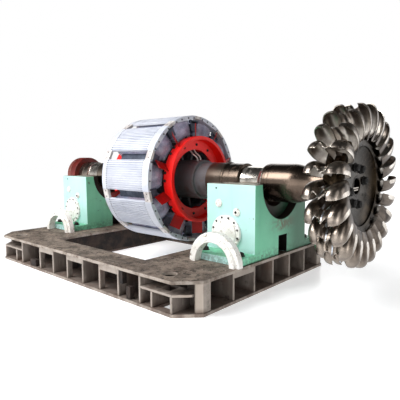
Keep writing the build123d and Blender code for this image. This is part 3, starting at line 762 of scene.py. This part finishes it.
fanSizes = {
    "left": sideOf("rotor_fan_rings", "left"), "right": sideOf("rotor_fan_rings", "right"), "wide": 0.148,
    "web": 0.016, "outer": 0.610, "wall": 0.560, "bore": 0.421, "bolts": (12, -4, 0.495, 0.017, 0.014),
    "nutHalfTurn": 5.0, "nutInset": 0.026, "nut": (0.017, 0.020),
}


def tube(path, radius, sides=10):
    points = [Vector(p) for p in path]
    rings = []
    for i, point in enumerate(points):
        along = (points[min(i + 1, len(points) - 1)] - points[max(i - 1, 0)]).normalized()
        side = along.cross(Vector((0, 0, 1)) if abs(along.z) < 0.9 else Vector((1, 0, 0))).normalized()
        up = along.cross(side)
        rings.append([tuple(point + radius * (cos(a) * side + sin(a) * up))
                      for a in (2 * pi * k / sides for k in range(sides))])
    return stack(rings)


leadSizes = {
    "turns": (2.0, 14.0), "radius": 0.011,
    "path": [(0.330, 0.0, 0.262), (0.326, 0.0, 0.300), (0.304, 0.004, 0.332), (0.270, 0.010, 0.348),
             (0.236, 0.016, 0.366), (0.212, 0.020, 0.392), (0.186, 0.022, 0.420), (0.130, 0.022, 0.470),
             (0.090, 0.020, 0.560)],
}
# painted shade: dark blue-grey plates close the gaps between the poles, standing in for the shade there
gapShadeBlocks = [  # from X, to X, half width, and reach from and to
    (poleLeft + 0.230, poleRight - 0.075, 0.066, 0.776, 0.790),
    (poleRight - 0.104, poleRight - 0.078, 0.060, 0.690, 0.832),
    (poleRight - 0.104, poleRight - 0.078, 0.086, 0.800, 0.848),
]


def fieldLeads():  # from the shaft out through the ring's bore to the coils
    leads = Form()
    for turn in leadSizes["turns"]:
        leads.add(tube(leadSizes["path"], leadSizes["radius"]), around(turn))
    leads.piece("rotor_field_leads", "rotor", "rotor_steel", finish=bracketFinish)


def gapShadePlates():
    covers = Form()
    for turn in gapTurns:
        for x0, x1, half, low, high in gapShadeBlocks:
            covers.add(block(x0, x1, -half, half, low, high), around(turn))
    covers.piece("rotor_gap_shade_plates", "rotor", "rotor_steel", bevel=0.003, finish=gapShadeFinish)


def fanRings():
    s = fanSizes
    face, back, leftBack = s["right"], s["right"] - s["wide"], s["left"] + s["wide"]
    web = back + s["web"]
    profile = [(face, s["wall"] + 0.004), (face, s["outer"] - 0.006), (face - 0.006, s["outer"]),
               (back + 0.003, s["outer"]), (back, s["outer"] - 0.003), (back, s["bore"] + 0.002),
               (back + 0.002, s["bore"]), (web - 0.002, s["bore"]), (web, s["bore"] + 0.002),
               (web, s["wall"] - 0.014), (web + 0.005, s["wall"] - 0.005), (web + 0.014, s["wall"]),
               (face - 0.004, s["wall"])]
    mirror = [(leftBack + back - x, r) for x, r in reversed(profile)]
    form = Form().add(lathe(profile, 120), around(0)).add(lathe(mirror, 120), around(0))
    form.piece("fan_rings_turned", "rotor", "red_paint", ["rotor_fan_rings"], 30)
    heads = Form()
    for x, side in ((web, 1), (leftBack - s["web"], -1)):
        boltCircle(heads, x, side, s["bolts"])
    for turn in poleTurns:
        for a in (-s["nutHalfTurn"], s["nutHalfTurn"]):
            for x in (back + s["nutInset"], leftBack - s["nutInset"]):
                hexHead(heads, around(turn + a, x, s["outer"] - 0.001), *s["nut"])
    heads.piece("fan_ring_bolts", "rotor", "bolt_steel")


fanRings()
fieldLeads()
gapShadePlates()
print("fan, leads and gap covers made")


# runner

runnerSizes = {
    "x": (sideOf("runner_disc", "left") + sideOf("runner_disc", "right")) / 2, "count": 22, "phase": -4.0,
    "tip": 0.875, "root": 0.510, "halfWide": 0.206, "deep": 0.116, "wall": 0.009, "rim": 0.935,
    "ridge": 0.004, "arcs": 40, "shells": 9, "scallop": 0.038, "scallopDeep": 0.052, "scallopReach": 0.868,
    "leanFrom": 0.70, "leanTo": 0.86, "lean": 0.014,
}
backSizes = {
    "hub": 0.480, "hump": 0.132, "humpAt": 0.60, "valley": 0.086, "roundFrom": 0.64, "fullFrom": 0.68,
    "narrowBy": 0.25, "narrowOver": 0.20, "steps": 40, "stations": 16, "skin": 0.003,
}
lobe = {"at": runnerSizes["halfWide"] * 0.465, "half": runnerSizes["halfWide"] * 0.535,
        "middle": (runnerSizes["root"] + runnerSizes["tip"]) / 2,
        "long": (runnerSizes["tip"] - runnerSizes["root"]) / 2, "ridgePower": 6.0, "edgePower": 2.5}


def signedPower(value, power):
    return abs(value) ** power * (1 if value > 0 else -1)


def scallop(x):  # the two hollows at the tip, either side of the ridge's point
    s = runnerSizes
    off = abs(x) / s["scallop"] - 1
    return s["scallopReach"] - s["scallopDeep"] * (1 - off ** 2) ** 0.5 if off < 1 else 2 * s["tip"]


def lobeReach(x):  # where the tip edge lies before the hollows are cut
    t = abs(x) - lobe["at"]
    across, power = min(1.0, abs(t) / lobe["half"]), lobe["ridgePower" if t < 0 else "edgePower"]
    return lobe["middle"] + lobe["long"] * (1 - across ** power) ** (1 / power)


def lobeOutline(angle, share):  # plan of one bowl: x from the ridge outwards, z along the reach
    c, d, turn, power = cos(angle), sin(angle), degrees(angle), lobe["ridgePower"]
    if 90 <= turn <= 180:
        x, z = -(turn - 90) / 90, (1 - min(1.0, (turn - 90) / 90) ** power) ** (1 / power)
    else:
        x, z = signedPower(c, 0.8), signedPower(d, 0.8)
        x *= 1.0 - 0.10 * max(0.0, -d) ** 2  # narrower near the hub
    return lobe["at"] + lobe["half"] * x * share, lobe["middle"] + lobe["long"] * z * share


def backNarrow(z):
    s = backSizes
    return 1.0 - s["narrowBy"] * max(0.0, (s["fullFrom"] - z) / s["narrowOver"]) ** 1.6


def backDepth(x, z):  # two humps and a flat valley
    s = backSizes
    share = min(1.0, abs(x) / (runnerSizes["halfWide"] * backNarrow(z)))
    end = lobeReach(share * runnerSizes["halfWide"])
    across = min(1.0, abs(share - s["humpAt"]) / (1 - s["humpAt"]))
    along = min(1.0, max(0.0, z - s["roundFrom"]) / max(0.001, end - s["roundFrom"]))
    hump = s["hump"] * (1 - across ** 2.6) ** 0.45 * (1 - along ** 2.4) ** 0.5
    return max(hump, s["valley"] * (1 - along ** 1.6) if share < s["humpAt"] else 0.0)


def lip(z):  # the tip leans a little towards the jet
    s = runnerSizes
    return s["lean"] * max(0.0, (z - s["leanFrom"]) / (s["leanTo"] - s["leanFrom"])) ** 2


def cutShort(chain):  # stops a line of points where it meets a hollow
    for i in range(1, len(chain)):
        if chain[i].z > scallop(chain[i].x):
            inside, outside = chain[i - 1], chain[i]
            for _ in range(12):
                middle = (inside + outside) / 2
                if middle.z > scallop(middle.x):
                    outside = middle
                else:
                    inside = middle
            return chain[:i] + [inside] * (len(chain) - i)
    return chain


def bowlRings():
    s = runnerSizes
    shares = [sin(pi / 2 * (i + 1) / s["shells"]) for i in range(s["shells"])]
    backs, cups = [], []
    layers = ((backs, s["deep"], 1.0, 0.0), (cups, s["deep"] - s["wall"], s["rim"], s["ridge"]))
    for k in range(s["arcs"]):
        angle = 2 * pi * k / s["arcs"]
        for chains, deep, rim, ridge in layers:
            chain = []
            for share in shares:
                x, z = lobeOutline(angle, share * rim)
                bulge = deep * max(0.0, 1 - share ** 2.6) ** 0.5 * (1.0 - 0.16 * sin(angle) * share)
                limit = max(0.0, backDepth(x, z) - backSizes["skin"] - s["deep"] + deep)
                y = bulge * limit / (bulge ** 4 + limit ** 4) ** 0.25 if min(bulge, limit) > 0.0001 else 0.0
                chain.append(Vector((max(x, ridge + 0.16 * y if ridge else 0.0),
                                     y - (lip(z) if share > 0.99 else 0.0), z)))
            chains.append(cutShort(chain))
    order = [(backs, i) for i in range(s["shells"])] + [(cups, i) for i in reversed(range(s["shells"]))]
    return [[chain[i] for chain in chains] for chains, i in order]


def rimRings(rings):  # the ground edge of one bowl
    outer, inner = rings[runnerSizes["shells"] - 1], rings[runnerSizes["shells"]]
    return [[p + Vector((0, shift, 0)) for p in one] for one, shift in
            ((outer, 0.001), (outer, -0.0015), (inner, -0.0015), (inner, 0.001))]


def bucketBack():  # the outside, running down into the disc
    s = backSizes
    rings = []
    for i in range(s["stations"] + 1):
        outer, inner = [], []
        for j in range(s["steps"] + 1):
            x = (2 * j / s["steps"] - 1) * runnerSizes["halfWide"]
            tip = lobeReach(x)
            z = s["hub"] + (min(tip, scallop(x)) - s["hub"]) * sin(pi / 2 * i / s["stations"])
            lift = lip(z) * max(0.0, (z - s["roundFrom"]) / (tip - s["roundFrom"])) ** 4
            x *= backNarrow(z)
            y = backDepth(x, z)
            outer.append((x, y - lift, z))
            inner.append((x, y * 0.95 - 0.0012 - lift, z))
        rings.append(outer + inner[::-1])
    return stack(rings)


panelSizes = {"low": 0.600, "high": 0.840, "half": 0.040, "taperFrom": 0.78, "endHalf": 0.012,
              "proud": 0.0015, "sunk": 0.004, "stations": 8, "leanOver": 0.218}


def valleyPanel():
    s = panelSizes
    rings = []
    for i in range(s["stations"] + 1):
        z = s["low"] + (s["high"] - s["low"]) * i / s["stations"]
        taper = max(0.0, (z - s["taperFrom"]) / (s["high"] - s["taperFrom"]))
        half = s["half"] - (s["half"] - s["endHalf"]) * taper
        y = backDepth(0.0, z) - lip(z) * max(0.0, (z - backSizes["roundFrom"]) / s["leanOver"]) ** 4
        under, over = y - s["sunk"], y + s["proud"]
        rings.append([(-half, under, z), (-half, over, z), (half, over, z), (half, under, z)])
    return stack(rings)


shankStations = [  # reach, half width, and depth from and to
    (0.480, 0.094, -0.030, 0.074), (0.520, 0.092, -0.012, 0.084), (0.560, 0.080, 0.016, 0.090),
    (0.600, 0.062, 0.046, 0.092), (0.640, 0.040, 0.060, 0.090), (0.690, 0.020, 0.064, 0.082),
    (0.740, 0.008, 0.062, 0.072),
]


def shank():  # the root that carries a bucket out of the disc
    rings = []
    for z, half, y0, y1 in shankStations:
        middle, deep = (y0 + y1) / 2, (y1 - y0) / 2
        rings.append([(half * signedPower(cos(a), 0.6), middle + deep * signedPower(sin(a), 0.6), z)
                      for a in (2 * pi * (i + 0.5) / 20 for i in range(20))])
    return stack(rings)


def runnerBuckets():
    s = runnerSizes
    cups, rims, backs, panels = Form(), Form(), Form(), Form()
    rings = bowlRings()
    edges = rimRings(rings)
    for i in range(s["count"]):
        place = around(s["phase"] + 360 / s["count"] * i, s["x"])
        for side in (1, -1):
            half = place @ Matrix.Scale(side, 4, (1, 0, 0))
            cups.add(stack(rings), half)
            rims.add(stack(edges, False), half)
        backs.add(bucketBack(), place).add(shank(), place)
        panels.add(valleyPanel(), place)
    cups.piece("runner_bucket_cups", "rotor", "runner_steel", ["runner_buckets"], 48, finish=cupFinish)
    backs.piece("runner_bucket_backs", "rotor", "runner_steel", crease=48)
    rims.piece("runner_bucket_rims", "rotor", "runner_steel", crease=48, finish=rimFinish)
    # the valley panels carry a painted reflection
    panels.piece("runner_valley_panels", "rotor", "runner_steel", crease=30, finish=panelReflectionFinish)


discSizes = {
    "half": 0.095, "floor": 0.065, "bolts": 8, "boltTurn": -76, "boltReach": 0.205,
    "boltHead": (0.043, 0.040, 0.3), "pinTurns": (-2.6, 2.6),
    "dowels": 12, "dowelTurn": 8, "dowelReach": 0.300, "pinRadius": 0.009, "pinHigh": 0.002,
    "boreRadius": 0.0835, "boreFrom": -0.060, "boreTo": -0.052, "bars": (-0.020, -0.044),
    "bar": (0.006, 0.024, 0.083, 0.007),  # depths, half length and half height
    "rim": [  # offset outwards from both faces, and reach
        (0.0, 0.440), (0.012, 0.490), (0.014, 0.540), (-0.004, 0.578), (-0.040, 0.597),
    ],
    "recess": [  # offset from the outer face, and reach
        (0.014, 0.540), (0.012, 0.490), (0.002, 0.452), (-0.005, 0.430), (-0.020, 0.424), (-0.030, 0.410),
        (-0.045, 0.372), (-0.058, 0.325), (-0.064, 0.290), (-0.065, 0.112), (-0.062, 0.108), (-0.062, 0.094),
        (-0.066, 0.086), (-0.120, 0.084), (-0.120, 0.06),
    ],
}


def runnerDisc():
    s = discSizes
    middle = runnerSizes["x"]
    back, face, floor = middle - s["half"], middle + s["half"], middle + s["half"] - s["floor"]
    profile = [(back, 0.06)] + [(back - out, r) for out, r in s["rim"]] + [(middle, 0.602)]
    profile += [(face + out, r) for out, r in s["rim"][:2:-1] + s["recess"]]
    disc = Form().add(lathe(profile, 132), around(0))
    disc.piece("runner_disc_turned", "rotor", "runner_steel", ["runner_disc"], 28, finish=discFinish)
    heads = Form()
    pin = stud(s["pinRadius"], s["pinHigh"])
    for i in range(s["bolts"]):
        turn = s["boltTurn"] + 360 / s["bolts"] * i
        if i % 4 != 3:  # two places have a pair of pins
            hexHead(heads, facingShaftEnd(turn, floor, s["boltReach"]), *s["boltHead"])
        else:
            for a in s["pinTurns"]:
                heads.add(pin, facingShaftEnd(turn + a, floor, s["boltReach"]))
    for i in range(s["dowels"]):
        turn = 360 / s["dowels"] * i + s["dowelTurn"]
        heads.add(pin, facingShaftEnd(turn, floor + 0.0001, s["dowelReach"]))
    # heads, pins and dowels are near-black with the painted hollow shade
    heads.piece("runner_bolts_and_dowels", "rotor", "bolt_steel", ["runner_bolts"], finish=hollowShadeFinish)
    # a near-black disc at the bottom of the bore is painted shade
    hollow = Form().add(plug(s["boreRadius"], s["boreFrom"], s["boreTo"], 48), facingShaftEnd(0, floor, 0))
    hollow.piece("runner_bore_floor", "rotor", "runner_steel", finish=hollowShadeFinish)
    bars = Form()
    near, far, half, high = s["bar"]
    for z in s["bars"]:
        bars.add(block(floor - far, floor - near, -half, half, z - high, z + high), around(0))
    bars.piece("runner_bore_bars", "rotor", "runner_steel", bevel=0.002, finish=rimFinish)


runnerBuckets()
runnerDisc()
print("runner made")


# pedestals

pedestalSizes = {
    "front": sideOf("inspection_covers", "rear"), "coverX": 0.304, "coverZ": 0.660, "coverRadius": 0.208,
    "coverBolts": 12, "boltInset": 0.024, "coverHead": (0.011, 0.009), "markX": 0.144, "markZ": 1.182,
    "markRadius": 0.011, "footHead": (0.040, 0.040, 0.5),
    "plugs": ((0.187, 1.003, 0.0), (0.452, 0.912, 0.017)),  # along X, height and radius of a socket
    "dish": [(0.0, -0.004), (0.0, 0.027), (0.005, 0.0324), (0.046, 0.0333), (0.050, 0.0414), (0.060, 0.045)],
    "flange": [(0.048, -0.003), (0.048, 0.010), (0.045, 0.014)],
    "hexagon": [(0.034, 0.012), (0.034, 0.023), (0.030, 0.026)],
    "footInset": 0.095, "footReach": 0.733, "capInset": 0.175, "capReach": 0.515, "capRadius": 0.030,
}


def pedestalDetails():
    s = pedestalSizes
    covers, coverBolts, plugs, marks = Form(), Form(), Form(), Form()
    for x in pedestalLefts:
        place = facingFront(x + s["coverX"], s["front"], s["coverZ"])
        covers.add(stack([ring(s["coverRadius"] - inset, z, 64) for inset, z in s["dish"]]), place)
        for i in range(s["coverBolts"]):
            a, r = 2 * pi * (i + 0.5) / s["coverBolts"], s["coverRadius"] - s["boltInset"]
            hexHead(coverBolts, place @ moved(r * cos(a), r * sin(a), s["dish"][2][1]), *s["coverHead"])
        for along, z, socket in s["plugs"]:
            plugPlace = facingFront(x + along, s["front"], z)
            plugs.add(stack([ring(r, high, 40) for r, high in s["flange"]]), plugPlace)
            plugs.add(stack([ring(r, high, 6, 0.4) for r, high in s["hexagon"]]), plugPlace)
            if socket:
                marks.add(plug(socket, 0.020, 0.0268), plugPlace)
        hole(marks, s["markRadius"], facingFront(x + s["markX"], s["front"], s["markZ"]))
    covers.piece("inspection_covers_dished", "frame", "off_white_paint", ["inspection_covers"], 30)
    coverBolts.piece("inspection_cover_bolts", "frame", "bolt_steel")
    plugs.piece("pedestal_plug_flanges", "frame", "off_white_paint", ["pedestal_plugs"], 30)
    # the sockets and the small hole are near-black discs of painted shade
    marks.piece("pedestal_marks", "frame", "bolt_steel", finish=hollowShadeFinish)


def pedestalCorners(inset, reach, z):  # four places on each pedestal
    return [moved(x, shaftLine["y"] + side * reach, z) for left, right in zip(pedestalLefts, pedestalRights)
            for x in (left + inset, right - inset) for side in (-1, 1)]


def footBolts():
    form, s = Form(), pedestalSizes
    for place in pedestalCorners(s["footInset"], s["footReach"], sideOf("foot_bolts", "under")):
        hexHead(form, place, *s["footHead"])
    form.piece("pedestal_foot_bolts", "frame", "bolt_steel", ["foot_bolts"])


def capHoles():  # threaded holes of the bearing caps that were taken off, drawn as near-black discs of painted shade
    form, s = Form(), pedestalSizes
    for place in pedestalCorners(s["capInset"], s["capReach"], shaftLine["z"]):
        hole(form, s["capRadius"], place)
    form.piece("pedestal_cap_holes", "frame", "bolt_steel", finish=hollowShadeFinish)


sealSizes = {"inner": 0.245, "outer": 0.355, "half": 0.055, "step": 0.310, "sweep": 88.4, "steps": 40,
             "neckSink": 0.004, "neckThin": 0.93, "neckNarrow": 0.94, "neckSweep": 4}


def halfRings():
    form, s = Form(), sealSizes
    inner, outer, half, step = s["inner"], s["outer"], s["half"], s["step"]
    profile = [(-half, inner + 0.003), (-half + 0.003, inner), (half - 0.003, inner), (half, inner + 0.003),
               (half, step - 0.004), (half - 0.004, step), (half - 0.028, step), (half - 0.031, step + 0.003),
               (half - 0.031, outer - 0.004), (half - 0.035, outer), (-half + 0.004, outer),
               (-half, outer - 0.004)]
    neck = [(x * s["neckNarrow"], inner + s["neckSink"] + (r - inner) * s["neckThin"]) for x, r in profile]
    y = (sideOf("seal_half_rings", "front") + sideOf("seal_half_rings", "rear")) / 2
    for x in (sideOf("seal_half_rings", "left") + outer, sideOf("seal_half_rings", "right") - outer):
        place = moved(x, y, base["top"]) @ turned(-90, "Z")
        for start in (-90, 90 - s["sweep"]):
            form.add(lathe(profile, s["steps"], True, s["sweep"]), place @ turned(start))
        form.add(lathe(neck, 4, True, s["neckSweep"]), place @ turned(-s["neckSweep"] / 2))
    form.piece("seal_half_rings_turned", "frame", "off_white_paint", ["seal_half_rings"])


pedestalDetails()
footBolts()
capHoles()
halfRings()
print("pedestal pieces made")


# base details

baseHoles = [(-0.412, -1.318, 0.022), (-2.029, -0.841, 0.018)]  # X, Y and radius


def baseDetails():
    holes = Form()
    for x, y, r in baseHoles:
        hole(holes, r, moved(x, y, base["top"]))
    # the holes are near-black discs of painted shade
    holes.piece("base_small_holes", "frame", "base_steel", finish=hollowShadeFinish)


baseDetails()
print("base details made")


# studio

studio = {"floorSize": 80.0, "glowFrom": 1.8, "glowTo": 7.5, "sky": 0.04, "horizon": 0.22, "frontGlow": 0.75,
          "backGlow": 0.8}
lights = {  # place, aim, size and power
    "key": ((-1.9, -4.7, 6.0), (0.2, 0.0, 1.0), 4.0, 640.0),
    "front": ((0.5, -9.0, 3.0), (0.0, 0.0, 0.7), 6.0, 200.0),
    "side": ((8.5, -1.0, 4.0), (1.0, 0.0, 0.8), 4.0, 58.0),
    "rear": ((-3.0, 8.0, 5.0), (0.0, 0.0, 0.8), 5.0, 120.0),
    "edge": ((5.4, 3.2, 1.9), (2.6, 0.5, 1.2), 1.6, 18.0),
    "low": ((6.5, -2.0, 0.9), (0.3, 0.2, 1.0), 2.0, 40.0),
}


def floorFinish():
    f = Finish("floor")
    x, y, z = f.axes(f.spot)
    cloud = f.noise(0.8, 3.0, 0.5)
    far = (x * x + y * y).root().rise(studio["glowFrom"], studio["glowTo"])
    colour = f.layers((232, 233, 235), (cloud, (240, 240, 242)), (far, (0, 0, 0)))
    glow = f.mix(far, (0.52, 0.52, 0.52, 1.0), (1.0, 1.0, 1.0, 1.0))
    return f.surface(colour, 0.2 + cloud * 0.06, Emission_Color=glow, Emission_Strength=1.0)


def studioStage():
    half = studio["floorSize"] / 2
    mesh = bpy.data.meshes.new("floor")
    corners = [(-half, -half, 0), (half, -half, 0), (half, half, 0), (-half, half, 0)]
    mesh.from_pydata(corners, [], [[0, 1, 2, 3]])
    mesh.materials.append(floorFinish())
    newObject("floor", mesh)


def softLights():
    for name, (place, aim, size, power) in lights.items():
        light = bpy.data.lights.new(name, "AREA")
        light.shape, light.size, light.energy = "SQUARE", size, power
        obj = newObject(name, light)
        obj.location = place
        obj.rotation_euler = (Vector(aim) - Vector(place)).to_track_quat("-Z", "Y").to_euler()


def worldLight():
    world = bpy.data.worlds.new("studio_world")
    scene.world = world
    world.use_nodes = True
    g = Graph(world.node_tree)
    x, y, z = g.axes(g.node("TexCoord", {}, {}, "Generated"))
    low = 1.0 - z.rise(0.0, 0.55)
    level = studio["sky"] + low * (studio["horizon"] + studio["frontGlow"] * (0.0 - y).rise(-0.3, 0.7)
                                   + studio["backGlow"] * y.rise(0.5, 0.95))
    lit = g.node("Background", {}, {0: level})
    shown = g.node("Background", {}, {0: (1.0, 1.0, 1.0, 1.0)})
    seen = g.node("LightPath", {}, {}, "Is Camera Ray")
    g.node("OutputWorld", {}, {0: g.node("MixShader", {}, {0: seen, 1: lit, 2: shown})})


cameraPlace = {"at": (4.245, -4.2179, 1.5567), "yaw": 41.56, "down": 5.97, "roll": -0.23, "lens": 37.44}


def placeCamera():
    s = cameraPlace
    data = bpy.data.cameras.new("camera")
    data.lens, data.sensor_width, data.clip_end = s["lens"], 36.0, 200.0
    obj = newObject("camera", data)
    aim = turned(s["yaw"], "Z") @ turned(90 - s["down"]) @ turned(s["roll"], "Z")
    obj.matrix_world = moved(*s["at"]) @ aim
    scene.camera = obj


studioStage()
worldLight()
softLights()
placeCamera()
scene.view_settings.view_transform = "Standard"
print("studio set")
